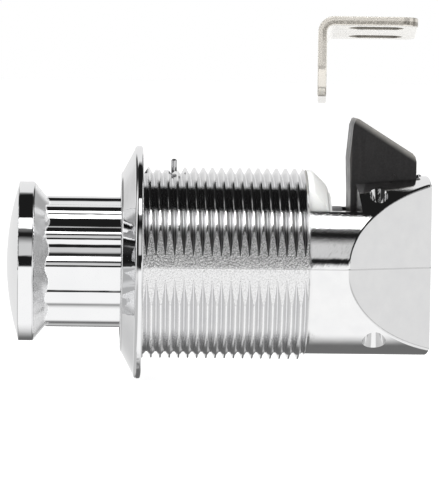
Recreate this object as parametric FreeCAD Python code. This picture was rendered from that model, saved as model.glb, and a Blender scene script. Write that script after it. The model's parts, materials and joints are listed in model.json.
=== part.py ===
import FreeCAD, Part
import math
import os

# Push-and-turn twist latch. Millimetres. Origin: centre of the flange's back face.
# +X runs along the barrel towards the rear block, the knob is at -X, +Z is the side the bolt stands out of.

V = FreeCAD.Vector
X, Y, Z = V(1, 0, 0), V(0, 1, 0), V(0, 0, 1)
O = V(0, 0, 0)

# ---------------------------------------------------------------- driving dimensions
THREAD_R = 14.35        # outer radius of the barrel's thread (28.7 mm hole)
THREAD_ROOT_R = 13.42
PITCH = 1.3725
THREAD_LEN = 24.5
CREST_AT_BOTTOM = 1.57  # X of one crest on the underside
FLAT_Y = 13.3           # half the distance across the barrel's flats
BORE_R = 11.0
BODY_R = 13.5           # radius of the rear body
BODY_END = 43.1
TROUGH_TOP = 8.4        # height of the trough's walls
BLOCK_X = 31.5          # front of the rear block
SIDE_X = 30.3           # where the slanted sides begin
SIDE_ANGLE = 31.5
DRAFT = 1.5
POCKET_FLOOR = -11.3
EDGE_R = 0.5            # rounding of the rear body's outer edges
MOUTH_R = 0.65          # rounding of the bolt slot's lip

FLANGE_R = 17.5
FLANGE_T = 3.2
RECESS_R = 12.15

KNOB_HEAD_R = 11.95
KNOB_SHAFT_R = 9.84     # over the ridges
KNOB_APEX = -20.25
KNOB_DOME_R = 38.7
KNOB_TRAVEL = 15.0
KNOB_REAR = 6.0
KNOB_BORE_R = 5.6
FLUTES = 12
RIDGE_R = 1.9           # rounding of the ridges between the flutes
FLUTE_LEAN = 20.5       # degrees that a flute's normal turns to each side before the ridge begins
FLUTE_REACH = (KNOB_SHAFT_R - RIDGE_R) * math.sin(math.pi / FLUTES) / math.sin(math.radians(FLUTE_LEAN))
FLUTE_R = FLUTE_REACH - RIDGE_R
FLUTE_AT = (KNOB_SHAFT_R - RIDGE_R) * math.cos(math.pi / FLUTES) + FLUTE_REACH * math.cos(math.radians(FLUTE_LEAN))
FLUTE_PHASE = -1.5      # degrees, a ridge's angle above the horizontal on the viewer's side

SLEEVE_R = 10.9
SLEEVE_X0, SLEEVE_X1 = 2.0, 22.8
SLEEVE_GAP = 0.15
JOURNAL_R = 3.4
TURN = 60.0             # degrees of knob turn

CAM_R = 8.8
CAM_X0, CAM_X1 = 28.3, 29.9
CAM_HALF = 60.0

BOLT_TRAVEL = 8.2
BOLT_X0, BOLT_X1 = 30.8, 40.95
BOLT_RIDGE_X = 33.2
BOLT_HALF, BOLT_TAIL_HALF = 4.4, 2.9
BOLT_BOTTOM = -2.7
BOLT_GAP = 0.15
RETAIN_X = 41.55        # the retaining pin behind the bolt

PIN_X, PIN_R, PIN_TOP = 4.7, 0.435, 15.6

KEEPER_W = 20.0
KEEPER_T = 1.35
KEEPER_LEG_X = 26.1     # outer face of the hanging leg
KEEPER_END_X = 40.85
KEEPER_TOP = 36.3
KEEPER_FOOT = 24.75
KEEPER_TIP = -5.5       # as photographed: tipped towards the viewer
KEEPER_YAW = -4.0


# ---------------------------------------------------------------- helpers
def cyl(r, a, b, axis="x", at=(0.0, 0.0)):
    """Cylinder of radius r from a to b along an axis, at the two other coordinates."""
    if axis == "x":
        return Part.makeCylinder(r, b - a, V(a, at[0], at[1]), X)
    if axis == "y":
        return Part.makeCylinder(r, b - a, V(at[0], a, at[1]), Y)
    return Part.makeCylinder(r, b - a, V(at[0], at[1], a), Z)


def box(x0, x1, y0, y1, z0, z1):
    return Part.makeBox(x1 - x0, y1 - y0, z1 - z0, V(x0, y0, z0))


def lathe(points):
    """Solid of revolution about X from closed (x, r) points; a point may be an arc's middle, marked 'arc'."""
    edges, i, n = [], 0, len(points)
    while i < n:
        a = points[i]
        b = points[(i + 1) % n]
        if len(b) == 3:
            c = points[(i + 2) % n]
            edges.append(Part.Arc(V(a[0], 0, a[1]), V(b[0], 0, b[1]), V(c[0], 0, c[1])).toShape())
            i += 2
        else:
            if math.hypot(a[0] - b[0], a[1] - b[1]) > 1e-6:
                edges.append(Part.makeLine(V(a[0], 0, a[1]), V(b[0], 0, b[1])))
            i += 1
    face = Part.Face(Part.Wire(edges))
    solid = face.revolve(O, X, 360)
    return solid if solid.Volume > 0 else solid.reversed()


def plate(points, z0, z1):
    """Prism of an XY polygon from z0 to z1."""
    wire = Part.makePolygon([V(x, y, z0) for x, y in points] + [V(points[0][0], points[0][1], z0)])
    return Part.Face(wire).extrude(V(0, 0, z1 - z0))


def side_plate(points, y0, y1):
    """Prism of an XZ polygon from y0 to y1."""
    wire = Part.makePolygon([V(x, y0, z) for x, z in points] + [V(points[0][0], y0, points[0][1])])
    return Part.Face(wire).extrude(V(0, y1 - y0, 0))


def cross_plate(points, x0, x1):
    """Prism of a YZ polygon from x0 to x1."""
    wire = Part.makePolygon([V(x0, y, z) for y, z in points] + [V(x0, points[0][0], points[0][1])])
    return Part.Face(wire).extrude(V(x1 - x0, 0, 0))


def frustum(low, high):
    """Solid between two polygons with the same number of corners; each side is flat."""
    n = len(low)
    faces = [Part.Face(Part.makePolygon(low + [low[0]])), Part.Face(Part.makePolygon(high + [high[0]]))]
    for i in range(n):
        j = (i + 1) % n
        faces.append(Part.Face(Part.makePolygon([low[i], low[j], high[j], high[i], low[i]])))
    solid = Part.makeSolid(Part.makeShell(faces))
    return solid if solid.Volume > 0 else solid.reversed()


def fluted_face(x, gap=0.0):
    """Face of the knob's cross-section at x: round ridges and concave flutes that meet without a corner, grown by a gap."""
    step = 2 * math.pi / FLUTES
    turn = step / 2 + math.radians(FLUTE_LEAN)
    edges = []

    def at(ridge, normal):
        c, r = KNOB_SHAFT_R - RIDGE_R, RIDGE_R + gap
        return V(x, c * math.cos(ridge) + r * math.cos(ridge + normal), c * math.sin(ridge) + r * math.sin(ridge + normal))

    for k in range(FLUTES):
        # ridges lie at FLUTE_PHASE above the horizontal on the -Y side
        ridge = math.pi + math.radians(-FLUTE_PHASE) + k * step
        mid, low = ridge + step / 2, FLUTE_AT - (FLUTE_R - gap)
        edges.append(Part.Arc(at(ridge, -turn), at(ridge, 0), at(ridge, turn)).toShape())
        edges.append(Part.Arc(at(ridge, turn), V(x, low * math.cos(mid), low * math.sin(mid)), at(ridge + step, -turn)).toShape())
    return Part.Face(Part.Wire(Part.__sortEdges__(edges)))


def coil(mean_r, wire_r, x0, x1, turns, axis="x", at=(0.0, 0.0)):
    """Compression spring with its axis along X or Z, closed ends not ground."""
    height = (x1 - x0) - 2 * wire_r
    helix = Part.makeHelix(height / turns, height, mean_r)
    circle = Part.Wire(Part.makeCircle(wire_r, V(mean_r, 0, 0), V(0, 1, 0)))
    body = Part.Wire(helix.Edges).makePipeShell([circle], True, True)
    body.translate(V(0, 0, wire_r))
    if axis == "x":
        body.rotate(O, Y, 90)
        body.translate(V(x0, at[0], at[1]))
    else:
        body.translate(V(at[0], at[1], x0))
    return body


def one(shape):
    """The single solid of a shape, cleaned."""
    shape = shape.removeSplitter()
    if shape.ShapeType != "Solid" and len(shape.Solids) == 1:
        shape = shape.Solids[0]
    return shape


os.makedirs("parts", exist_ok=True)


def save(name, shape):
    assert shape.isValid(), name
    assert shape.Volume > 0, name
    shape.exportStep("parts/%s.step" % name)
    b = shape.BoundBox
    print("%-20s solids %d  volume %9.2f  x %7.2f %7.2f  y %7.2f %7.2f  z %7.2f %7.2f" % (
        name, len(shape.Solids), shape.Volume, b.XMin, b.XMax, b.YMin, b.YMax, b.ZMin, b.ZMax))


# ---------------------------------------------------------------- barrel housing
def thread_grooves():
    """Right-handed helical grooves, one for each half turn above and below the flats, that leave the crests standing.

    Between two half turns the flats have already taken the thread away."""
    span = 176.0
    helix = Part.makeHelix(PITCH, PITCH * span / 360, THREAD_ROOT_R)
    # groove section: narrow root flat, steep flanks, open above the crest, which keeps a flat of 0.22
    top = THREAD_R + 0.4
    half_root = 0.07
    half_top = half_root + (top - THREAD_ROOT_R) * math.tan(math.radians(28.5))
    pts = [V(THREAD_ROOT_R, 0, -half_root), V(top, 0, -half_top), V(top, 0, half_top), V(THREAD_ROOT_R, 0, half_root)]
    section = Part.makePolygon(pts + [pts[0]])
    groove = Part.Wire(helix.Edges).makePipeShell([section], True, True)
    # local Z, X, Y become X, Y, Z, so that angle 0 is +Y and 90 degrees is the top
    turn = FreeCAD.Matrix(0, 0, 1, 0, 1, 0, 0, 0, 0, 1, 0, 0, 0, 0, 0, 1)
    middle = CREST_AT_BOTTOM + PITCH / 2 - PITCH * 0.75   # groove's middle at angle 0
    tools = []
    for start in (2.0, 182.0):
        for k in range(-3, 22):
            x = middle + PITCH * (start / 360 + k)
            if x + PITCH * span / 360 < -0.9 or x > THREAD_LEN + 0.9:
                continue
            g = groove.copy()
            g.rotate(O, Z, start)
            g.translate(V(0, 0, x))
            g.transformShape(turn)
            tools.append(g)
    return tools


def slanted_cutters():
    """The four wedges outside the slanted sides, which lean in above and below the parting line."""
    t = math.tan(math.radians(SIDE_ANGLE))
    d = 16 * math.tan(math.radians(DRAFT))
    cutters = []
    for side in (-1, 1):
        for up in (-1, 1):
            low = [V(29.0, side * (BODY_R + (SIDE_X - 29.0) * t), 0), V(44.0, side * (BODY_R - (44.0 - SIDE_X) * t), 0),
                   V(44.0, side * 20, 0), V(29.0, side * 20, 0)]
            high = [V(p.x, p.y - (side * d if i < 2 else 0), up * 16) for i, p in enumerate(low)]
            cutters.append(frustum(low, high))
    return cutters


def pocket_outline(grow):
    """XY outline of the bolt's cross-section, grown by a clearance; the front end is open."""
    return [(BOLT_X0 - grow, -BOLT_HALF - grow), (BOLT_RIDGE_X, -BOLT_HALF - grow),
            (BOLT_X1 + grow, -BOLT_TAIL_HALF - grow), (BOLT_X1 + grow, BOLT_TAIL_HALF + grow),
            (BOLT_RIDGE_X, BOLT_HALF + grow), (BOLT_X0 - grow, BOLT_HALF + grow)]


def edges_where(shape, test):
    return [e for e in shape.Edges if test(e, e.BoundBox)]


def barrel_housing():
    # threaded barrel with two flats
    barrel = cyl(THREAD_R, 0, THREAD_LEN)
    barrel = barrel.common(box(-1, 25, -FLAT_Y, FLAT_Y, -20, 20))
    barrel = barrel.cut(thread_grooves())
    barrel = barrel.cut(lathe([(23.9, 14.6), (THREAD_LEN + 0.1, 13.65), (THREAD_LEN + 0.1, 14.8), (23.9, 14.8)]))
    barrel = barrel.cut(box(1.6, 5.75, -6, 6, 13.85, 16))   # lower crests beside the pin
    if barrel.ShapeType != "Solid":
        barrel = max(barrel.Solids, key=lambda s: s.Volume)
    nose = cyl(13.2, -0.5, 0.3)

    # rear body: round, with slanted sides on the block
    rear = lathe([(THREAD_LEN - 0.5, 0), (BODY_END, 0), (BODY_END, BODY_R), (THREAD_LEN, BODY_R),
                  (THREAD_LEN, BODY_R - 0.6), (THREAD_LEN - 0.5, BODY_R - 0.6)])
    rear = one(rear.cut(slanted_cutters()))
    rear = one(rear.makeFillet(EDGE_R, edges_where(rear, lambda e, b: "Ellipse" in e.Curve.TypeId or b.XMin > BODY_END - 0.01)))

    # trough: open on top between the barrel and the block, whose front leans back from the slot
    back = math.tan(math.radians(7.5))
    reach = 16.0
    out = BLOCK_X + (reach - BOLT_HALF) * back
    opening = plate([(THREAD_LEN, -reach), (out, -reach), (BLOCK_X, -BOLT_HALF), (BLOCK_X, BOLT_HALF), (out, reach),
                     (THREAD_LEN, reach)], TROUGH_TOP, 16)
    rear = rear.cut(opening)
    # pocket for the bolt, with a rounded mouth
    rear = rear.cut(plate(pocket_outline(BOLT_GAP), POCKET_FLOOR, 16))
    mouth = edges_where(rear, lambda e, b: b.ZMin > 11.5 and b.XMin > BLOCK_X - 0.1 and b.XMax < BOLT_X1 + 0.3
                        and max(abs(b.YMin), abs(b.YMax)) < BOLT_HALF + 0.3)
    rear = rear.makeFillet(MOUTH_R, mouth)

    body = one(rear.fuse([barrel, nose]))
    body = body.cut(cyl(BORE_R, -1, BLOCK_X))
    body = body.cut(cyl(12.2, -1, 4.0))
    # channel and hole of the bolt's retaining pin
    body = body.cut(box(BOLT_X1, RETAIN_X, -0.45, 0.45, POCKET_FLOOR, 16).fuse(cyl(0.45, POCKET_FLOOR, 16, "z", (RETAIN_X, 0))))
    # hole of the stop pin
    body = body.cut(cyl(PIN_R, 9, 16, "z", (PIN_X, 0)))
    # four draft dimples beside the pocket, above and below
    for side in (-1, 1):
        for up, x, wide in ((1, 34.9, 0.0), (-1, 34.5, 0.35)):
            cone = Part.makeCone(1.15 + wide, 1.55 + wide, 4.0, V(x, side * 8.1, up * 8.5), V(0, 0, up))
            body = body.cut(cone)
    # seat of the bolt spring's guide
    body = body.cut(cyl(1.0, POCKET_FLOOR - 0.8, POCKET_FLOOR + 0.1, "z", (36.6, 0)))
    return one(body)


# ---------------------------------------------------------------- bezel
def bezel_ring():
    # a pressed knob's head lies in the recess, its back cone 0.25 off the recess's cone
    slope = (-14.4 + 16.1) / (KNOB_HEAD_R - KNOB_SHAFT_R)
    cone_x = -1.1 + 0.35
    lip_r = KNOB_SHAFT_R + 0.24
    lip_x = cone_x + (RECESS_R - lip_r) * slope
    f = 0.25
    return lathe([
        (-FLANGE_T + f, RECESS_R), (-FLANGE_T + 0.07, RECESS_R + 0.07, "arc"), (-FLANGE_T, RECESS_R + f),
        (-FLANGE_T, 13.15), (-FLANGE_T + 0.08, 13.42, "arc"), (-FLANGE_T + 0.27, 13.62),
        (-1.22, 16.88), (-1.08, 17.28, "arc"), (-0.72, FLANGE_R),
        (-0.3, FLANGE_R), (-0.09, FLANGE_R - 0.09, "arc"), (0, FLANGE_R - 0.3),
        (0, 14.5), (-0.5, 14.5), (-0.5, 12.15), (3.9, 12.15), (3.9, 11.15), (1.85, 11.15), (1.85, lip_r),
        (lip_x, lip_r), (cone_x, RECESS_R)])


# ---------------------------------------------------------------- knob
def knob_shell():
    slope = (-14.4 + 16.1) / (KNOB_HEAD_R - KNOB_SHAFT_R)
    rim_back = -16.1

    def dome(r):
        return KNOB_APEX + KNOB_DOME_R - math.sqrt(KNOB_DOME_R**2 - r * r)

    edge_r = KNOB_HEAD_R - 0.22
    head = lathe([
        (KNOB_APEX, 0), (dome(6.0), 6.0, "arc"), (dome(edge_r), edge_r),
        (dome(edge_r) + 0.035, KNOB_HEAD_R - 0.07, "arc"), (dome(edge_r) + 0.22, KNOB_HEAD_R),
        (rim_back - 0.18, KNOB_HEAD_R), (rim_back - 0.04, KNOB_HEAD_R - 0.06, "arc"), (rim_back + 0.1, KNOB_HEAD_R - 0.22),
        (rim_back + (KNOB_HEAD_R - 8.2) * slope, 8.2), (rim_back + (KNOB_HEAD_R - 8.2) * slope, 0)])
    shaft = fluted_face(-15.6).extrude(V(KNOB_REAR + 15.6, 0, 0))
    body = one(head.fuse(shaft))
    body = body.cut(cyl(KNOB_BORE_R, -16.5, KNOB_REAR + 1))
    return one(body)


def wire_holder():
    disc = lathe([(-16.45, 0), (-14.0, 0), (-14.0, 5.3), (-14.25, 5.55), (-16.45, 5.55)])
    return one(disc.cut(cyl(0.42, -17, -13, at=(3.05, 0))).cut(box(-16.6, -15.4, 0.5, 3.47, -0.42, 0.42)))


def follower_wire():
    r = 0.4
    pts = [V(-16.05, 0.9, 0), V(-16.05, 2.45, 0), V(-15.45, 3.05, 0), V(2.45, 3.05, 0), V(3.05, 2.45, 0), V(3.05, 1.75, 0)]
    mid = [V(-16.05 + 0.6 * (1 - math.sqrt(0.5)), 3.05 - 0.6 * (1 - math.sqrt(0.5)), 0),
           V(3.05 - 0.6 * (1 - math.sqrt(0.5)), 3.05 - 0.6 * (1 - math.sqrt(0.5)), 0)]
    path = Part.Wire([Part.makeLine(pts[0], pts[1]), Part.Arc(pts[1], mid[0], pts[2]).toShape(),
                      Part.makeLine(pts[2], pts[3]), Part.Arc(pts[3], mid[1], pts[4]).toShape(),
                      Part.makeLine(pts[4], pts[5])])
    return path.makePipeShell([Part.Wire(Part.makeCircle(r, pts[0], Y))], True, True)


# ---------------------------------------------------------------- drive sleeve and what turns with it
def drive_sleeve():
    body = cyl(SLEEVE_R, SLEEVE_X0, SLEEVE_X1)
    cavity = fluted_face(SLEEVE_X0 - 0.5, SLEEVE_GAP).extrude(V(21.3 - SLEEVE_X0 + 0.5, 0, 0))
    body = body.cut(cavity)
    journal = cyl(JOURNAL_R, SLEEVE_X1 - 0.2, CAM_X0 - 0.1)
    square = box(CAM_X0 - 0.2, 30.25, -2.2, 2.2, -2.2, 2.2).common(cyl(2.9, 28, 31))
    square = square.cut(lathe([(CAM_X1 + 0.03, 2.55), (CAM_X1 + 0.23, 2.55), (CAM_X1 + 0.23, 4), (CAM_X1 + 0.03, 4)]))
    body = body.fuse([journal, square])
    body = body.cut(cyl(1.8, 21, 25))
    # slot that the stop pin stands in, 60 degrees of turn
    slack = math.degrees(PIN_R / 10.4) + 0.6
    rect = Part.Face(Part.makePolygon([V(PIN_X - 0.55, 9.0, 0), V(PIN_X + 0.55, 9.0, 0), V(PIN_X + 0.55, 11.5, 0),
                                       V(PIN_X - 0.55, 11.5, 0), V(PIN_X - 0.55, 9.0, 0)]))
    rect.rotate(O, X, 90 - TURN - slack)
    slot = rect.revolve(O, X, TURN + 2 * slack)
    return one(body.cut(slot))


def heart_cam_post():
    body = cyl(3.3, 1.5, 21.3).fuse(cyl(1.75, 21.2, 24.4))
    body = body.cut(box(1.0, 20.4, 2.5, 4, -4, 4))
    # straight lane for the wire's tip, and the heart-shaped loop beside it
    body = body.cut(box(2.3, 18.9, 1.25, 3, -0.55, 0.55))
    loop = [plate([(11.2, -0.4), (14.2, 1.5), (17.6, 1.5), (17.6, 2.5), (13.8, 2.5), (10.4, 0.4)], 0, 1.25)]
    for p in loop:
        p.rotate(O, X, 90)          # z becomes -y, y becomes z
        p.translate(V(0, 2.6, 0))
        body = body.cut(p)
    return one(body)


def drive_cam():
    a = math.radians(CAM_HALF)
    y, z = CAM_R * math.sin(a), CAM_R * math.cos(a)
    edges = [Part.makeLine(V(CAM_X0, 0, 0), V(CAM_X0, y, z)),
             Part.Arc(V(CAM_X0, y, z), V(CAM_X0, 0, CAM_R), V(CAM_X0, -y, z)).toShape(),
             Part.makeLine(V(CAM_X0, -y, z), V(CAM_X0, 0, 0))]
    fan = Part.Face(Part.Wire(edges)).extrude(V(CAM_X1 - CAM_X0, 0, 0))
    corners = edges_where(fan, lambda e, b: b.XLength > 1 and abs(b.Center.y) > 5)
    fan = fan.makeFillet(0.4, corners)
    hub = cyl(3.6, CAM_X0, CAM_X1)
    body = one(fan.fuse(hub))
    hole = box(CAM_X0 - 0.5, CAM_X1 + 0.5, -2.23, 2.23, -2.23, 2.23).common(cyl(2.93, CAM_X0 - 0.6, CAM_X1 + 0.6))
    return one(body.cut(hole))


def cam_clip():
    ring = cyl(3.5, CAM_X1 + 0.04, CAM_X1 + 0.22).cut(cyl(2.56, CAM_X1, CAM_X1 + 0.3))
    return one(ring.cut(box(CAM_X1, CAM_X1 + 0.3, -1.6, 1.6, -4, 0)))


# ---------------------------------------------------------------- pieces held in the housing
def retainer_block():
    low = cyl(10.85, 23.4, 28.1)
    top = lathe([(THREAD_LEN + 0.02, 0), (28.12, 0), (28.12, 8.6), (27.65, 11.75), (27.4, 12.2), (25.45, 14.08),
                 (25.2, 14.2), (THREAD_LEN + 0.02, 14.2)])
    top = top.common(box(24, 29, -8.7, 8.7, TROUGH_TOP + 0.02, 15))
    step = box(26.75, 29, 8.4, 9, 8, 15).fuse(box(26.75, 29, -9, -8.4, 8, 15))
    top = top.cut(step)
    body = one(low.fuse(top))
    return one(body.cut(cyl(JOURNAL_R + 0.06, 23, 29)))


def stop_pin():
    pin = cyl(PIN_R, 10.05, PIN_TOP - 0.25, "z", (PIN_X, 0))
    tip = Part.makeCone(PIN_R, PIN_R - 0.2, 0.25, V(PIN_X, 0, PIN_TOP - 0.25), Z)
    return one(pin.fuse(tip))


def bolt_retaining_pin():
    pin = cyl(0.44, 8.1, 13.3, "z", (RETAIN_X, 0))
    head = Part.makeSphere(0.44, V(RETAIN_X, 0, 13.3))
    return one(pin.fuse(head))


# ---------------------------------------------------------------- bolt
def latch_bolt():
    blank = plate(pocket_outline(0.0), BOLT_BOTTOM, 24)
    r = 0.55
    side = side_plate([(30.95, BOLT_BOTTOM - 1), (30.95, 11.0), (30.8, 16.1), (31.28, 21.1), (31.62, 21.95), (31.85, 22.1),
                       (32.1, 22.02), (BOLT_X1 - 0.65, 16.95), (BOLT_X1 - 0.2, 16.45), (BOLT_X1, 15.7), (BOLT_X1, BOLT_BOTTOM - 1)], -6, 6)
    body = one(blank.common(side))
    # soften the tail's upright edges and the slanted strike face's edges, with the short bends between them
    soft = edges_where(body, lambda e, b: (b.ZLength > 10 and abs(b.XMax - BOLT_X1) < 0.01)
                       or (b.XLength > 6 and b.ZLength > 3 and b.ZMin > 15)
                       or (b.ZMin > 15 and b.XMin > 39.9 and b.YLength < 0.4))
    body = body.makeFillet(0.3, soft)
    body = body.cut(cyl(2.5, BOLT_BOTTOM - 1, 9.0, "z", (36.6, 0)))
    rib = box(BOLT_X1 - 0.5, RETAIN_X + 0.05, -0.36, 0.36, BOLT_BOTTOM, 8.0)
    body = one(body.fuse(rib))
    # notch that holds the lift bar
    body = body.cut(box(30, 31.35, -6, 6, 2.2, 4.2))
    # ejector marks on the tapered sides
    taper = math.atan2(BOLT_HALF - BOLT_TAIL_HALF, BOLT_X1 - BOLT_RIDGE_X)
    mx = 37.2
    my = BOLT_HALF - (mx - BOLT_RIDGE_X) * math.tan(taper)
    for side_sign in (-1, 1):
        n = V(math.sin(taper), side_sign * math.cos(taper), 0)
        mark = Part.makeCylinder(0.6, 1.0, V(mx, side_sign * my, 13.3) - n * 0.06, n)
        body = body.cut(mark)
    return one(body)


def lift_bar():
    bar = box(30.45, 31.33, -8.0, 8.0, 2.22, 4.18)
    noses = [cyl(0.8, 28.45, 30.6, at=(y, 3.04)) for y in (-7.1, 7.1)]
    return one(bar.fuse(noses))


# ---------------------------------------------------------------- keeper
def keeper():
    r_out = 2.4
    r_in = r_out - KEEPER_T
    x0, x1, top, foot = KEEPER_LEG_X, KEEPER_END_X, KEEPER_TOP, KEEPER_FOOT
    h = math.sqrt(0.5)

    def p(x, z):
        return V(x, -KEEPER_W / 2, z)

    c = (x0 + r_out, top - r_out)
    edges = [
        Part.makeLine(p(x0, foot), p(x0, top - r_out)),
        Part.Arc(p(x0, top - r_out), p(c[0] - r_out * h, c[1] + r_out * h), p(x0 + r_out, top)).toShape(),
        Part.makeLine(p(x0 + r_out, top), p(x1, top)),
        Part.makeLine(p(x1, top), p(x1, top - KEEPER_T)),
        Part.makeLine(p(x1, top - KEEPER_T), p(x0 + r_out, top - KEEPER_T)),
        Part.Arc(p(x0 + r_out, top - KEEPER_T), p(c[0] - r_in * h, c[1] + r_in * h), p(x0 + KEEPER_T, top - r_out)).toShape(),
        Part.makeLine(p(x0 + KEEPER_T, top - r_out), p(x0 + KEEPER_T, foot)),
        Part.makeLine(p(x0 + KEEPER_T, foot), p(x0, foot))]
    body = Part.Face(Part.Wire(edges)).extrude(V(0, KEEPER_W, 0))
    # rounded corners: the leg's foot and the free end of the top plate
    foot_corners = edges_where(body, lambda e, b: b.ZMax < foot + 0.01 and b.XLength > 1.0 and b.YLength < 0.01)
    body = body.makeFillet(4.2, foot_corners)
    end_corners = edges_where(body, lambda e, b: b.XMin > x1 - 0.01 and b.ZLength > 1.0 and b.YLength < 0.01)
    body = body.makeFillet(2.2, end_corners)
    # two slots along X
    for y in (-6.0, 6.0):
        r = 2.1
        a, b = KEEPER_LEG_X + 4.55 + r, KEEPER_LEG_X + 12.75 - r
        slot = cyl(r, top - 2, top + 1, "z", (a, y)).fuse([cyl(r, top - 2, top + 1, "z", (b, y)), box(a, b, y - r, y + r, top - 2, top + 1)])
        body = body.cut(slot)
    body = one(body)
    # slightly rolled long edges
    rim = edges_where(body, lambda e, b: b.YLength < 0.01 and abs(abs(b.YMin) - KEEPER_W / 2) < 0.01 and b.XLength > 5)
    body = body.makeFillet(0.2, rim)
    # turned and tipped as photographed
    centre = V((x0 + x1) / 2, 0, (foot + top) / 2)
    body.rotate(centre, X, KEEPER_TIP)
    body.rotate(centre, Z, KEEPER_YAW)
    return one(body)


# ---------------------------------------------------------------- write
save("barrel_housing", barrel_housing())
save("bezel_ring", bezel_ring())
save("retainer_block", retainer_block())
save("stop_pin", stop_pin())
save("bolt_retaining_pin", bolt_retaining_pin())
save("thrust_washer", lathe([(22.85, 3.6), (23.35, 3.6), (23.35, 9.0), (22.85, 9.0)]))
save("spring_guide", one(cyl(1.0, POCKET_FLOOR - 0.75, -4.2, "z", (36.6, 0)).fuse(cyl(2.2, POCKET_FLOOR, POCKET_FLOOR + 0.5, "z", (36.6, 0)))))
save("bolt_spring", coil(1.95, 0.25, POCKET_FLOOR + 0.52, 8.95, 13, "z", (36.6, 0)))
save("drive_sleeve", drive_sleeve())
save("heart_cam_post", heart_cam_post())
save("spring_washer", lathe([(20.55, 3.45), (21.25, 3.45), (21.25, 5.5), (20.55, 5.5)]))
save("drive_cam", drive_cam())
save("cam_clip", cam_clip())
save("pop_spring", coil(4.55, 0.4, -13.95, 20.5, 16))
save("knob_shell", knob_shell())
save("wire_holder", wire_holder())
save("follower_wire", follower_wire())
save("latch_bolt", latch_bolt())
save("lift_bar", lift_bar())
save("keeper", keeper())
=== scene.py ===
import bpy
import json
import math
from mathutils import Vector, Matrix


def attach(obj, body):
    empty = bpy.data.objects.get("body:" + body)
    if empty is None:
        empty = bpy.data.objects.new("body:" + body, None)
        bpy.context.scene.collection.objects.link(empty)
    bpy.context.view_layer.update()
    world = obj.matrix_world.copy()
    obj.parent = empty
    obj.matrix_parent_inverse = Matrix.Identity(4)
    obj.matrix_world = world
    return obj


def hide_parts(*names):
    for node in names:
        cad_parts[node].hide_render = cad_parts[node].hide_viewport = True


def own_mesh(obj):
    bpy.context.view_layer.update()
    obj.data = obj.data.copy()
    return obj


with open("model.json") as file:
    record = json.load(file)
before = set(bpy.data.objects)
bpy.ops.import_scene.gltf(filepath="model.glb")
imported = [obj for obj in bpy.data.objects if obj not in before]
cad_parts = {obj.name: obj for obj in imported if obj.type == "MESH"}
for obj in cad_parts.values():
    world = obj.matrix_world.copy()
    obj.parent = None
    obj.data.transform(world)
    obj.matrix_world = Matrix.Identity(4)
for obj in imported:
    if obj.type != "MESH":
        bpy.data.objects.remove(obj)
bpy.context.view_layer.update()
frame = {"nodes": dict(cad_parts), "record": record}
nodes = frame["nodes"]


scene = bpy.context.scene

# ---------------------------------------------------------------- camera
WIDTH, HEIGHT = 439, 480
FOCAL_PX = 3400.0
CAM_POS = Vector((-0.0084, -0.510, 0.0310))
CAM_AIM = Vector((0.01168, 0.0, 0.00348))
CAM_ROLL = 0.8          # degrees, clockwise in the picture

cam_data = bpy.data.cameras.new("camera")
cam_data.sensor_fit = "VERTICAL"
cam_data.sensor_height = 24.0
cam_data.lens = FOCAL_PX / HEIGHT * 24.0
cam_data.clip_start = 0.01
cam_data.clip_end = 50.0
cam = bpy.data.objects.new("camera", cam_data)
scene.collection.objects.link(cam)
forward = (CAM_AIM - CAM_POS).normalized()
rot = forward.to_track_quat("-Z", "Y").to_matrix().to_4x4()
cam.matrix_world = Matrix.Translation(CAM_POS) @ rot @ Matrix.Rotation(math.radians(CAM_ROLL), 4, "Z")
scene.camera = cam

# ---------------------------------------------------------------- picture
scene.view_settings.view_transform = "Standard"
scene.view_settings.look = "None"
scene.view_settings.exposure = 0.0
scene.view_settings.gamma = 1.0


# ---------------------------------------------------------------- node helpers
class Tree:
    """Small helper that adds nodes to a node tree."""

    def __init__(self, tree):
        self.t = tree
        tree.nodes.clear()

    def node(self, kind, inputs=None, **props):
        n = self.t.nodes.new(kind)
        for k, v in props.items():
            setattr(n, k, v)
        for k, v in (inputs or {}).items():
            self.put(n, k, v)
        return n

    def put(self, n, k, v):
        s = n.inputs[k]
        if isinstance(v, bpy.types.NodeSocket):
            self.t.links.new(v, s)
        else:
            s.default_value = v

    def math(self, op, *args, clamp=False):
        n = self.t.nodes.new("ShaderNodeMath")
        n.operation = op
        n.use_clamp = clamp
        for i, a in enumerate(args):
            self.put(n, i, a)
        return n.outputs[0]

    def step(self, v, a, b):
        """0 below a, 1 above b, smooth between."""
        n = self.node("ShaderNodeMapRange", {"Value": v, "From Min": a, "From Max": b, "To Min": 0.0, "To Max": 1.0},
                      interpolation_type="SMOOTHSTEP")
        return n.outputs["Result"]

    def ramp(self, fac, stops, interpolation="LINEAR"):
        n = self.t.nodes.new("ShaderNodeValToRGB")
        r = n.color_ramp
        r.interpolation = interpolation
        while len(r.elements) > 1:
            r.elements.remove(r.elements[-1])
        r.elements[0].position = stops[0][0]
        for i, (p, c) in enumerate(stops):
            e = r.elements[0] if i == 0 else r.elements.new(p)
            c = (c, c, c) if isinstance(c, (int, float)) else c
            e.color = (*c, 1.0)
        self.put(n, "Fac", fac)
        return n.outputs["Color"]

    def mix(self, fac, a, b):
        n = self.t.nodes.new("ShaderNodeMix")
        n.data_type = "RGBA"
        self.put(n, 0, fac)
        self.put(n, 6, a if not isinstance(a, tuple) else (*a, 1.0))
        self.put(n, 7, b if not isinstance(b, tuple) else (*b, 1.0))
        return n.outputs[2]

    def noise(self, vec, scale, detail=2.0, rough=0.5, distortion=0.0):
        n = self.node("ShaderNodeTexNoise", {"Vector": vec, "Scale": scale, "Detail": detail, "Roughness": rough,
                                             "Distortion": distortion})
        return n.outputs["Fac"]

    def bump(self, height, strength, distance, normal=None):
        n = self.node("ShaderNodeBump", {"Height": height, "Strength": strength, "Distance": distance})
        if normal is not None:
            self.put(n, "Normal", normal)
        return n.outputs["Normal"]


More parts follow.
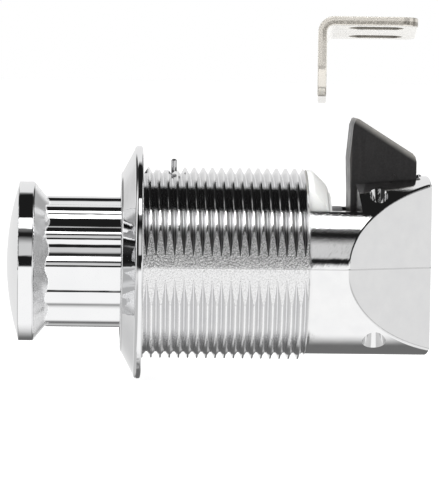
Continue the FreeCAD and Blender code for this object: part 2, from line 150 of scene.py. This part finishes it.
# ---------------------------------------------------------------- studio
# The light comes from a long softbox above the viewer, a grey card below it, a backdrop and a bright floor, with dark
# gaps between them. They lie along X, so they are written as bands of the angle about X: 0 towards the viewer's side,
# 90 straight up, -90 straight down.
world = bpy.data.worlds.new("studio")
scene.world = world
world.use_nodes = True
w = Tree(world.node_tree)
direction = w.node("ShaderNodeTexCoord").outputs["Generated"]
dx, dy, dz = w.node("ShaderNodeSeparateXYZ", {"Vector": direction}).outputs
about = w.math("MULTIPLY", w.math("ARCTAN2", dz, w.math("MULTIPLY", dy, -1.0)), 180 / math.pi)


def band(level, rise, fall):
    """A strip of light between two soft edges, each given as the angles where it starts and ends."""
    out = level
    if rise:
        out = w.math("MULTIPLY", w.step(about, *rise), out)
    if fall:
        out = w.math("MULTIPLY", w.math("SUBTRACT", 1.0, w.step(about, *fall)), out)
    return out


softbox = band(2.6, (49.4, 52.4), (66.8, 69.0))
skirt = band(0.16, (43.0, 49.5), (50.5, 52.5))
card = band(0.67, (9.4, 12.2), (27.0, 40.0))
backdrop = band(0.87, (114.5, 124.0), None)
# the floor's far edge rises a little to the right, and so does the shade under the object
right = w.step(dx, 0.02, 0.075)
edge = w.math("SUBTRACT", about, w.math("MULTIPLY", right, 7.0))
ground = w.math("MULTIPLY", w.math("SUBTRACT", 1.0, w.step(edge, -6.2, -1.8)), 1.04)
# the shade begins nearest under the barrel and ends softly under the knob
barrel = w.math("MULTIPLY", w.step(dx, 0.012, 0.022), w.math("SUBTRACT", 1.0, w.step(dx, 0.056, 0.064)))
fall = w.math("ADD", 1.0, w.math("ADD", w.math("MULTIPLY", right, 0.75), w.math("MULTIPLY", barrel, 1.35)))
below = w.math("MULTIPLY", w.math("ADD", about, w.math("SUBTRACT", 96.0, w.math("MULTIPLY", barrel, 9.0))), fall)
shade = w.step(below, -52.0, 0.0)
# and past it, behind the object, the floor is bright again
shade = w.math("MAXIMUM", shade, w.math("SUBTRACT", 1.0, w.step(about, -170.0, -160.0)))
low = w.math("ADD", 0.13, w.math("MULTIPLY", right, 0.02))
ground = w.math("MULTIPLY", ground, w.math("ADD", low, w.math("MULTIPLY", shade, w.math("SUBTRACT", 1.0, low))))
# the softbox and the card end on the right, where only the floor goes on
ends = w.math("SUBTRACT", 1.0, w.step(dx, 0.100, 0.135))
total = w.math("ADD", 0.013, w.math("MULTIPLY", ends, w.math("ADD", softbox, w.math("ADD", skirt, card))))
for part in (backdrop, ground):
    total = w.math("ADD", total, part)
# to both sides a plain grey, darker above and below, and on the right the bright floor under it
flank = w.math("ADD", 0.55, w.math("MULTIPLY", w.step(dz, -0.35, -0.15), 0.27))
wide = w.step(w.math("ABSOLUTE", dx), 0.74, 0.82)
flank = w.math("SUBTRACT", flank, w.math("MULTIPLY", w.step(dz, 0.12, 0.38), w.math("SUBTRACT", 0.78, w.math("MULTIPLY", wide, 0.28))))
# high up on both sides the studio's top light goes on
high = w.math("MULTIPLY", w.step(about, 66.0, 76.0), w.math("SUBTRACT", 1.0, w.step(about, 101.0, 112.0)))
high = w.math("MULTIPLY", high, w.step(w.math("ABSOLUTE", dx), 0.50, 0.62))
flank = w.math("ADD", flank, w.math("MULTIPLY", high, 0.95))
under = w.math("MULTIPLY", w.math("SUBTRACT", 1.0, w.step(dz, -0.55, -0.38)), w.step(dx, 0.0, 0.2))
flank = w.math("ADD", flank, w.math("MULTIPLY", under, 0.35))
# in front on the right the grey stands further off, with a dark gap before it
gap = w.math("MULTIPLY", w.step(dx, 0.0, 0.05), w.math("SUBTRACT", 1.0, w.step(dy, -0.15, 0.05)))
gap = w.math("MULTIPLY", gap, w.step(dz, -0.09, -0.01))
side = w.step(w.math("SUBTRACT", w.math("ABSOLUTE", dx), w.math("MULTIPLY", gap, 0.33)), 0.30, 0.46)
# in front on the left nothing is lit but the floor
dim = w.math("MULTIPLY", w.step(w.math("MULTIPLY", dx, -1.0), 0.30, 0.46), w.math("SUBTRACT", 1.0, w.step(dy, -0.25, -0.05)))
dim = w.math("MULTIPLY", dim, w.step(dz, -0.12, -0.02))
flank = w.math("MULTIPLY", flank, w.math("SUBTRACT", 1.0, w.math("MULTIPLY", dim, 0.96)))
# behind on the left the backdrop comes down to the floor
left = w.math("MULTIPLY", w.step(w.math("MULTIPLY", dx, -1.0), 0.08, 0.2), w.math("SUBTRACT", 1.0, w.step(dz, 0.10, 0.22)))
left = w.math("MULTIPLY", left, w.step(dy, 0.2, 0.5))
side = w.math("MAXIMUM", side, left)
flank = w.math("ADD", flank, w.math("MULTIPLY", left, 0.03))
total = w.math("ADD", w.math("MULTIPLY", total, w.math("SUBTRACT", 1.0, side)), w.math("MULTIPLY", side, flank))
lit = w.node("ShaderNodeBackground", {"Color": (1.0, 1.0, 1.0, 1.0), "Strength": total})
plain = w.node("ShaderNodeBackground", {"Color": (1.0, 1.0, 1.0, 1.0), "Strength": 1.0})
ray = w.node("ShaderNodeLightPath")
both = w.node("ShaderNodeMixShader", {0: ray.outputs["Is Camera Ray"], 1: lit.outputs[0], 2: plain.outputs[0]})
w.node("ShaderNodeOutputWorld", {"Surface": both.outputs[0]})


def area_light(name, place, aim, size, power):
    """Soft fill that mirrors don't show."""
    data = bpy.data.lights.new(name, "AREA")
    data.shape = "RECTANGLE"
    data.size, data.size_y = size
    data.energy = power
    ob = bpy.data.objects.new(name, data)
    scene.collection.objects.link(ob)
    direction = Vector(aim) - Vector(place)
    ob.matrix_world = Matrix.Translation(place) @ direction.to_track_quat("-Z", "Y").to_matrix().to_4x4()
    ob.visible_glossy = False
    return ob


area_light("fill_top", (0.0, -0.25, 0.9), (0.01, 0.0, 0.0), (0.9, 0.7), 9.0)
area_light("fill_front", (-0.35, -0.8, 0.45), (0.01, 0.0, 0.01), (0.6, 0.6), 4.0)


def mesh_object(name, verts, faces):
    me = bpy.data.meshes.new(name)
    me.from_pydata(verts, [], faces)
    me.update()
    ob = bpy.data.objects.new(name, me)
    scene.collection.objects.link(ob)
    return ob


FLOOR_Z = -0.01752
ring = [(6.0 * math.cos(2 * math.pi * i / 64), 6.0 * math.sin(2 * math.pi * i / 64), FLOOR_Z) for i in range(64)]
floor = mesh_object("floor", ring, [tuple(range(64))])
floor.visible_glossy = False
m = bpy.data.materials.new("floor")
m.use_nodes = True
f = Tree(m.node_tree)
s = f.node("ShaderNodeBsdfPrincipled", {"Base Color": (0.45, 0.45, 0.45, 1.0), "Roughness": 0.9,
                                        "Emission Color": (1.0, 1.0, 1.0, 1.0), "Emission Strength": 0.86})
s.inputs["Specular IOR Level"].default_value = 0.0
f.node("ShaderNodeOutputMaterial", {"Surface": s.outputs[0]})
floor.data.materials.append(m)


# ---------------------------------------------------------------- materials
def material(name, build):
    m = bpy.data.materials.new(name)
    m.use_nodes = True
    t = Tree(m.node_tree)
    coords = t.node("ShaderNodeTexCoord").outputs["Object"]
    shader = build(t, coords)
    t.node("ShaderNodeOutputMaterial", {"Surface": shader})
    return m


def spread(t, value, low, high, a=0.35, b=0.65):
    """Map a noise's middle range onto low..high."""
    return t.node("ShaderNodeMapRange", {"Value": value, "From Min": a, "From Max": b, "To Min": low, "To Max": high}).outputs["Result"]


def stretch(t, p, scale, turn=(0.0, 0.0, 0.0)):
    """Coordinates in turned axes, divided by a scale: a noise in them is drawn out along the axis with the larger scale."""
    return t.node("ShaderNodeMapping", {"Vector": p, "Scale": scale, "Rotation": turn}, vector_type="TEXTURE").outputs["Vector"]


def chrome(t, p):
    # polished plating: a faint long wave, a few hairlines and smudges
    wave = t.noise(stretch(t, p, (2.5, 1.0, 1.0)), 420.0, 2.0, 0.5)
    smudge = t.noise(p, 160.0, 4.0, 0.6)
    hair = t.noise(stretch(t, p, (16.0, 1.0, 1.0)), 6000.0, 2.0, 0.5)
    normal = t.bump(wave, 1.0, 0.000022)
    normal = t.bump(hair, 1.0, 0.0000006, normal)
    # behind the head, round the foot of the grip, the plating is satin
    x, y, z = t.node("ShaderNodeSeparateXYZ", {"Vector": p}).outputs
    radius = t.math("SQRT", t.math("ADD", t.math("MULTIPLY", y, y), t.math("MULTIPLY", z, z)))
    off = t.math("ADD", t.math("ADD", x, 0.0161), t.math("MULTIPLY", t.math("SUBTRACT", radius, 0.01195), 0.8057))
    satin = t.math("MULTIPLY", t.step(off, -0.00022, -0.00008), t.math("SUBTRACT", 1.0, t.step(off, 0.00008, 0.00018)))
    satin = t.math("MULTIPLY", satin, t.math("SUBTRACT", 1.0, t.step(radius, 0.01165, 0.01185)))
    rough = t.math("ADD", spread(t, smudge, 0.02, 0.05), t.math("MULTIPLY", satin, 0.12))
    s = t.node("ShaderNodeBsdfPrincipled", {"Base Color": t.ramp(smudge, [(0.3, (0.85, 0.853, 0.86)), (0.7, (0.885, 0.885, 0.89))]),
                                            "Roughness": rough, "Normal": normal,
                                            "Metallic": t.math("SUBTRACT", 1.0, t.math("MULTIPLY", satin, 0.42))})
    return s.outputs[0]


def cast(t, p):
    # plated die casting: rough as cast on the barrel's flats, hatched by the tool on the rear body
    x, y, z = t.node("ShaderNodeSeparateXYZ", {"Vector": p}).outputs
    barrel_side = t.math("SUBTRACT", 1.0, t.step(x, 0.0243, 0.0246))
    flats = t.math("MULTIPLY", t.step(t.math("ABSOLUTE", y), 0.013285, 0.013297), barrel_side)
    body = t.step(x, 0.0242, 0.0250)
    hatch = t.noise(stretch(t, p, (7.0, 1.0, 1.0), (0.0, math.radians(-58), 0.0)), 5600.0, 2.0, 0.5)
    swell = t.noise(p, 420.0, 2.0, 0.5)
    pits = t.noise(p, 5200.0, 3.0, 0.55)
    speckle = t.noise(p, 3300.0, 3.0, 0.65)
    tooled = t.math("MULTIPLY", body, t.step(z, -0.002, 0.003))
    height = t.math("MULTIPLY", t.math("MULTIPLY", hatch, tooled), 0.0000075)
    height = t.math("ADD", height, t.math("MULTIPLY", t.math("MULTIPLY", swell, body), 0.000009))
    height = t.math("ADD", height, t.math("MULTIPLY", pits, t.math("ADD", 0.0000012, t.math("MULTIPLY", barrel_side, 0.0000058))))
    blotch = t.noise(p, 4200.0, 2.0, 0.6)
    upper = t.math("ADD", 0.30, t.math("MULTIPLY", t.step(z, -0.0012, 0.0012), 0.70))
    height = t.math("ADD", height, t.math("MULTIPLY", t.math("MULTIPLY", speckle, t.math("MULTIPLY", flats, upper)), 0.000055))
    # draft of the flats, away from the parting line on both sides, more so towards the top, and the line itself
    up = t.math("MAXIMUM", z, 0.0)
    down = t.math("MAXIMUM", t.math("MULTIPLY", z, -1.0), 0.0)
    draft = t.math("ADD", t.math("MULTIPLY", up, 0.026), t.math("MULTIPLY", t.math("MULTIPLY", up, up), 8.5))
    draft = t.math("ADD", draft, t.math("MULTIPLY", down, 0.045))
    height = t.math("SUBTRACT", height, t.math("MULTIPLY", draft, flats))
    line = t.math("SUBTRACT", 1.0, t.step(t.math("ABSOLUTE", z), 0.00003, 0.00012))
    outer = t.math("MULTIPLY", line, t.step(t.math("ABSOLUTE", y), 0.0040, 0.0050))
    height = t.math("ADD", height, t.math("MULTIPLY", outer, 0.00004))
    rough = t.math("ADD", spread(t, swell, 0.02, 0.06), t.math("MULTIPLY", flats, 0.11))
    tone = t.ramp(swell, [(0.3, (0.84, 0.84, 0.845)), (0.7, (0.88, 0.88, 0.88))])
    # down in the thread the colour is darkened, a painted shade, and the plating is dull
    radius = t.math("SQRT", t.math("ADD", t.math("MULTIPLY", y, y), t.math("MULTIPLY", z, z)))
    groove_shade = t.math("MULTIPLY", t.math("SUBTRACT", 1.0, t.step(radius, 0.01365, 0.01425)), t.math("SUBTRACT", 1.0, body))
    groove_shade = t.math("MULTIPLY", groove_shade, t.math("SUBTRACT", 1.0, flats))
    tone = t.mix(t.math("MULTIPLY", groove_shade, 0.40), tone, (0.66, 0.66, 0.67))
    deep = t.math("MULTIPLY", t.math("SUBTRACT", 1.0, t.step(radius, 0.01365, 0.01390)), t.math("SUBTRACT", 1.0, t.math("MAXIMUM", body, flats)))
    deep = t.math("MULTIPLY", t.math("MULTIPLY", deep, t.step(z, 0.0002, 0.0010)), t.math("SUBTRACT", 1.0, t.step(z, 0.0080, 0.0092)))
    rough = t.math("ADD", rough, t.math("MULTIPLY", deep, 0.26))
    # and at its very bottom, where it runs out beside the upper flats, painted shade darkens it nearly to black
    root_shade = t.math("MULTIPLY", t.math("SUBTRACT", 1.0, t.step(radius, 0.01348, 0.01364)), barrel_side)
    root_shade = t.math("MULTIPLY", t.math("MULTIPLY", root_shade, t.step(z, 0.0004, 0.0012)), t.math("SUBTRACT", 1.0, flats))
    root_shade = t.math("MULTIPLY", root_shade, t.step(t.math("ABSOLUTE", y), 0.0118, 0.0124))
    tone = t.mix(t.math("MULTIPLY", root_shade, 0.85), tone, (0.07, 0.07, 0.07))
    # the rough skin of the flats is blotched
    patch = t.math("MULTIPLY", t.math("MULTIPLY", t.step(blotch, 0.47, 0.60), flats), upper)
    tone = t.mix(t.math("MULTIPLY", patch, 0.55), tone, (0.24, 0.24, 0.24))
    tone = t.mix(t.math("MULTIPLY", outer, 0.35), tone, (0.25, 0.25, 0.25))
    s = t.node("ShaderNodeBsdfPrincipled", {"Base Color": tone, "Roughness": rough, "Normal": t.bump(height, 1.0, 1.0)})
    s.inputs["Metallic"].default_value = 1.0
    return s.outputs[0]


def bolt_plastic(t, p):
    # moulded, glass-filled: fine grain, faint flow lines up the bolt, and painted highlights along its edges
    grain = t.noise(p, 4200.0, 3.0, 0.6)
    flow = t.noise(stretch(t, p, (1.0, 1.0, 8.0)), 1500.0, 2.0, 0.5)
    cloud = t.noise(p, 330.0, 3.0, 0.6)
    tone = t.mix(t.math("MULTIPLY", t.step(flow, 0.45, 0.75), 0.4), t.ramp(grain, [(0.3, (0.0075, 0.007, 0.0072)), (0.7, (0.016, 0.015, 0.0153))]),
                 (0.022, 0.0205, 0.021))
    # painted highlight along the strike face's edge, which slants down to the rear, and fainter along the front
    x, y, z = t.node("ShaderNodeSeparateXYZ", {"Vector": p}).outputs
    under = t.math("SUBTRACT", t.math("SUBTRACT", 0.02202, t.math("MULTIPLY", t.math("SUBTRACT", x, 0.0321), 0.618)), z)
    edge_highlight = t.math("SUBTRACT", 1.0, t.step(under, 0.00005, 0.00120))
    front = t.math("SUBTRACT", 1.0, t.step(x, 0.03095, 0.03120))
    edge_highlight = t.math("MULTIPLY", t.math("MAXIMUM", edge_highlight, t.math("MULTIPLY", front, 0.16)), spread(t, cloud, 0.65, 1.0))
    tone = t.mix(edge_highlight, tone, (0.290, 0.280, 0.262))
    normal = t.bump(grain, 1.0, 0.00002)
    normal = t.bump(flow, 1.0, 0.000006, normal)
    s = t.node("ShaderNodeBsdfPrincipled", {"Base Color": tone, "Roughness": spread(t, cloud, 0.28, 0.42), "Normal": normal})
    s.inputs["Specular IOR Level"].default_value = 0.34
    return s.outputs[0]


def nylon(t, p):
    cloud = t.noise(p, 260.0, 3.0, 0.5)
    fine = t.noise(p, 2600.0, 2.0, 0.5)
    colour = t.ramp(cloud, [(0.3, (0.78, 0.785, 0.77)), (0.7, (0.84, 0.845, 0.83))])
    normal = t.bump(cloud, 1.0, 0.00004)
    normal = t.bump(fine, 1.0, 0.000006, normal)
    s = t.node("ShaderNodeBsdfPrincipled", {"Base Color": colour, "Roughness": spread(t, cloud, 0.34, 0.46), "Normal": normal})
    s.inputs["Subsurface Weight"].default_value = 0.35
    s.inputs["Subsurface Radius"].default_value = (1.0, 0.95, 0.85)
    s.inputs["Subsurface Scale"].default_value = 0.0012
    return s.outputs[0]


def nickel(t, p):
    # barrel plating over sheared sheet, in the keeper's own frame, before it was tipped and turned
    own = t.node("ShaderNodeMapping", {"Vector": p, "Location": (0.033475, 0.0, 0.030525),
                                       "Rotation": (math.radians(-5.5), 0.0, math.radians(-4.0))}, vector_type="TEXTURE").outputs["Vector"]
    x, y, z = t.node("ShaderNodeSeparateXYZ", {"Vector": own}).outputs
    # depth under the outer face, round the bend too
    a = t.math("MAXIMUM", t.math("SUBTRACT", 0.0024 - 0.007375, x), 0.0)
    b = t.math("MAXIMUM", t.math("SUBTRACT", z, 0.005775 - 0.0024), 0.0)
    depth = t.math("SUBTRACT", 0.0024, t.math("SQRT", t.math("ADD", t.math("MULTIPLY", a, a), t.math("MULTIPLY", b, b))))
    across = t.math("ABSOLUTE", y)
    grain = t.noise(p, 2600.0, 4.0, 0.65)
    torn_noise = t.noise(p, 3600.0, 3.0, 0.7)
    rolled = t.noise(stretch(t, p, (20.0, 20.0, 1.0)), 5200.0, 2.0, 0.5)
    cloud = t.noise(p, 240.0, 3.0, 0.6)
    # the sheared edge is torn and dark on its inner half, less so on the leg; the slots' walls are darkened with
    # painted shade
    sheared = t.math("MULTIPLY", t.step(depth, 0.00004, 0.00016), t.math("SUBTRACT", 1.0, t.step(depth, 0.00124, 0.00132)))
    torn = t.math("MULTIPLY", t.step(depth, 0.00056, 0.00074), t.math("SUBTRACT", 1.0, t.step(depth, 0.00112, 0.00126)))
    torn = t.math("MULTIPLY", torn, t.math("ADD", 0.30, t.math("MULTIPLY", t.step(z, 0.0015, 0.0035), 0.55)))
    torn = t.math("MULTIPLY", torn, t.math("ADD", t.step(z, -0.0016, -0.0008), t.math("MULTIPLY", t.step(x, 0.0050, 0.0056), 0.4)))
    torn = t.math("MULTIPLY", torn, t.math("ADD", 0.35, t.math("MULTIPLY", t.step(torn_noise, 0.36, 0.56), 0.65)), clamp=True)
    # painted shade: the slots' walls are darkened
    inside = t.math("MULTIPLY", t.step(z, 0.00444, 0.00452), t.math("SUBTRACT", 1.0, t.step(z, 0.00568, 0.00576)))
    inside = t.math("MULTIPLY", inside, t.math("SUBTRACT", 1.0, t.step(across, 0.0094, 0.0096)))
    inside = t.math("MULTIPLY", inside, t.math("SUBTRACT", 1.0, t.step(x, 0.0068, 0.0070)))
    warm = t.ramp(cloud, [(0.3, (0.84, 0.81, 0.745)), (0.7, (0.90, 0.88, 0.83))])
    colour = t.mix(t.math("MULTIPLY", t.step(grain, 0.60, 0.74), 0.5), warm, (0.58, 0.55, 0.49))
    colour = t.mix(t.math("MULTIPLY", sheared, 0.55), colour, (0.62, 0.575, 0.51))
    colour = t.mix(t.math("MULTIPLY", torn, 0.80), colour, (0.17, 0.155, 0.13))
    colour = t.mix(t.math("MULTIPLY", inside, 0.68), colour, (0.10, 0.09, 0.075))
    # the rounded corners are smooth
    corner = t.math("MAXIMUM", t.math("SUBTRACT", 1.0, t.step(z, -0.00175, -0.00135)), t.step(x, 0.0050, 0.0054))
    rough = t.math("ADD", spread(t, grain, 0.08, 0.14), t.math("MULTIPLY", t.math("MULTIPLY", sheared, t.math("SUBTRACT", 1.0, corner)), 0.16))
    normal = t.bump(grain, 1.0, 0.000009)
    normal = t.bump(rolled, 1.0, 0.000003, normal)
    s = t.node("ShaderNodeBsdfPrincipled", {"Base Color": colour, "Roughness": rough, "Normal": normal})
    s.inputs["Metallic"].default_value = 0.55
    return s.outputs[0]


def steel(t, p):
    grain = t.noise(stretch(t, p, (1.0, 1.0, 5.0)), 4000.0, 3.0, 0.6)
    colour = t.ramp(grain, [(0.3, (0.60, 0.60, 0.61)), (0.7, (0.72, 0.72, 0.73))])
    s = t.node("ShaderNodeBsdfPrincipled", {"Base Color": colour, "Roughness": spread(t, grain, 0.07, 0.16),
                                            "Normal": t.bump(grain, 1.0, 0.000004)})
    s.inputs["Metallic"].default_value = 1.0
    return s.outputs[0]


def dark_steel(t, p):
    # blackened stamping
    grain = t.noise(p, 2800.0, 3.0, 0.6)
    cloud = t.noise(p, 420.0, 3.0, 0.6)
    colour = t.ramp(cloud, [(0.3, (0.055, 0.055, 0.058)), (0.7, (0.10, 0.10, 0.105))])
    s = t.node("ShaderNodeBsdfPrincipled", {"Base Color": colour, "Roughness": spread(t, grain, 0.30, 0.46),
                                            "Normal": t.bump(grain, 1.0, 0.000008)})
    s.inputs["Metallic"].default_value = 1.0
    return s.outputs[0]


def alloy(t, p):
    # bare die casting inside the knob
    grain = t.noise(p, 1800.0, 4.0, 0.6)
    colour = t.ramp(grain, [(0.3, (0.42, 0.42, 0.43)), (0.7, (0.58, 0.58, 0.59))])
    s = t.node("ShaderNodeBsdfPrincipled", {"Base Color": colour, "Roughness": spread(t, grain, 0.32, 0.48),
                                            "Normal": t.bump(grain, 1.0, 0.00001)})
    s.inputs["Metallic"].default_value = 1.0
    return s.outputs[0]


MATERIALS = {
    "chrome": material("chrome", chrome), "chrome_cast": material("chrome_cast", cast),
    "bolt_plastic": material("bolt_plastic", bolt_plastic), "white_nylon": material("white_nylon", nylon),
    "nickel": material("nickel", nickel), "steel": material("steel", steel),
    "dark_steel": material("dark_steel", dark_steel), "spring_steel": material("spring_steel", steel),
    "cast_alloy": material("cast_alloy", alloy),
}
# the keeper hangs apart from the latch, which does not mirror it in the photograph
nodes["keeper"].visible_glossy = False
slot_of = {s["node"]: s["material_slot"] for s in frame["record"]["subparts"]}
for name, ob in nodes.items():
    ob.data.materials.clear()
    ob.data.materials.append(MATERIALS[slot_of[name]])


# the two springs shorten as their joints move; each here is only a copy of its solid, attached to its body, with the
# solid hidden
def spring(name, node, body):
    ob = bpy.data.objects.new(name, nodes[node].data.copy())
    scene.collection.objects.link(ob)
    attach(ob, body)
    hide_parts(node)
    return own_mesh(ob)


# the tip of the knob's dome is one point of many triangles: its shading is set square to the axis there
dome = nodes["knob_shell"].data.copy()
edges = {tuple(sorted(e.vertices)): e for e in dome.edges}
for face in dome.polygons:
    # a face with no width would spoil the shading of those beside it
    if face.area < 1e-13:
        for key in face.edge_keys:
            edges[tuple(sorted(key))].use_edge_sharp = True
tip = min(v.co.x for v in dome.vertices)
normals = [tuple(c.vector) for c in dome.corner_normals]
for corner in dome.loops:
    at = dome.vertices[corner.vertex_index].co
    if at.x < tip + 1e-6 and math.hypot(at.y, at.z) < 1e-5:
        normals[corner.index] = (-1.0, 0.0, 0.0)
dome.normals_split_custom_set(normals)
knob_piece = bpy.data.objects.new("knob_shell_smooth", dome)
scene.collection.objects.link(knob_piece)
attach(knob_piece, "knob")
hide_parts("knob_shell")

spring("pop_spring_coil", "pop_spring", "rotor")
spring("bolt_spring_coil", "bolt_spring", "root")
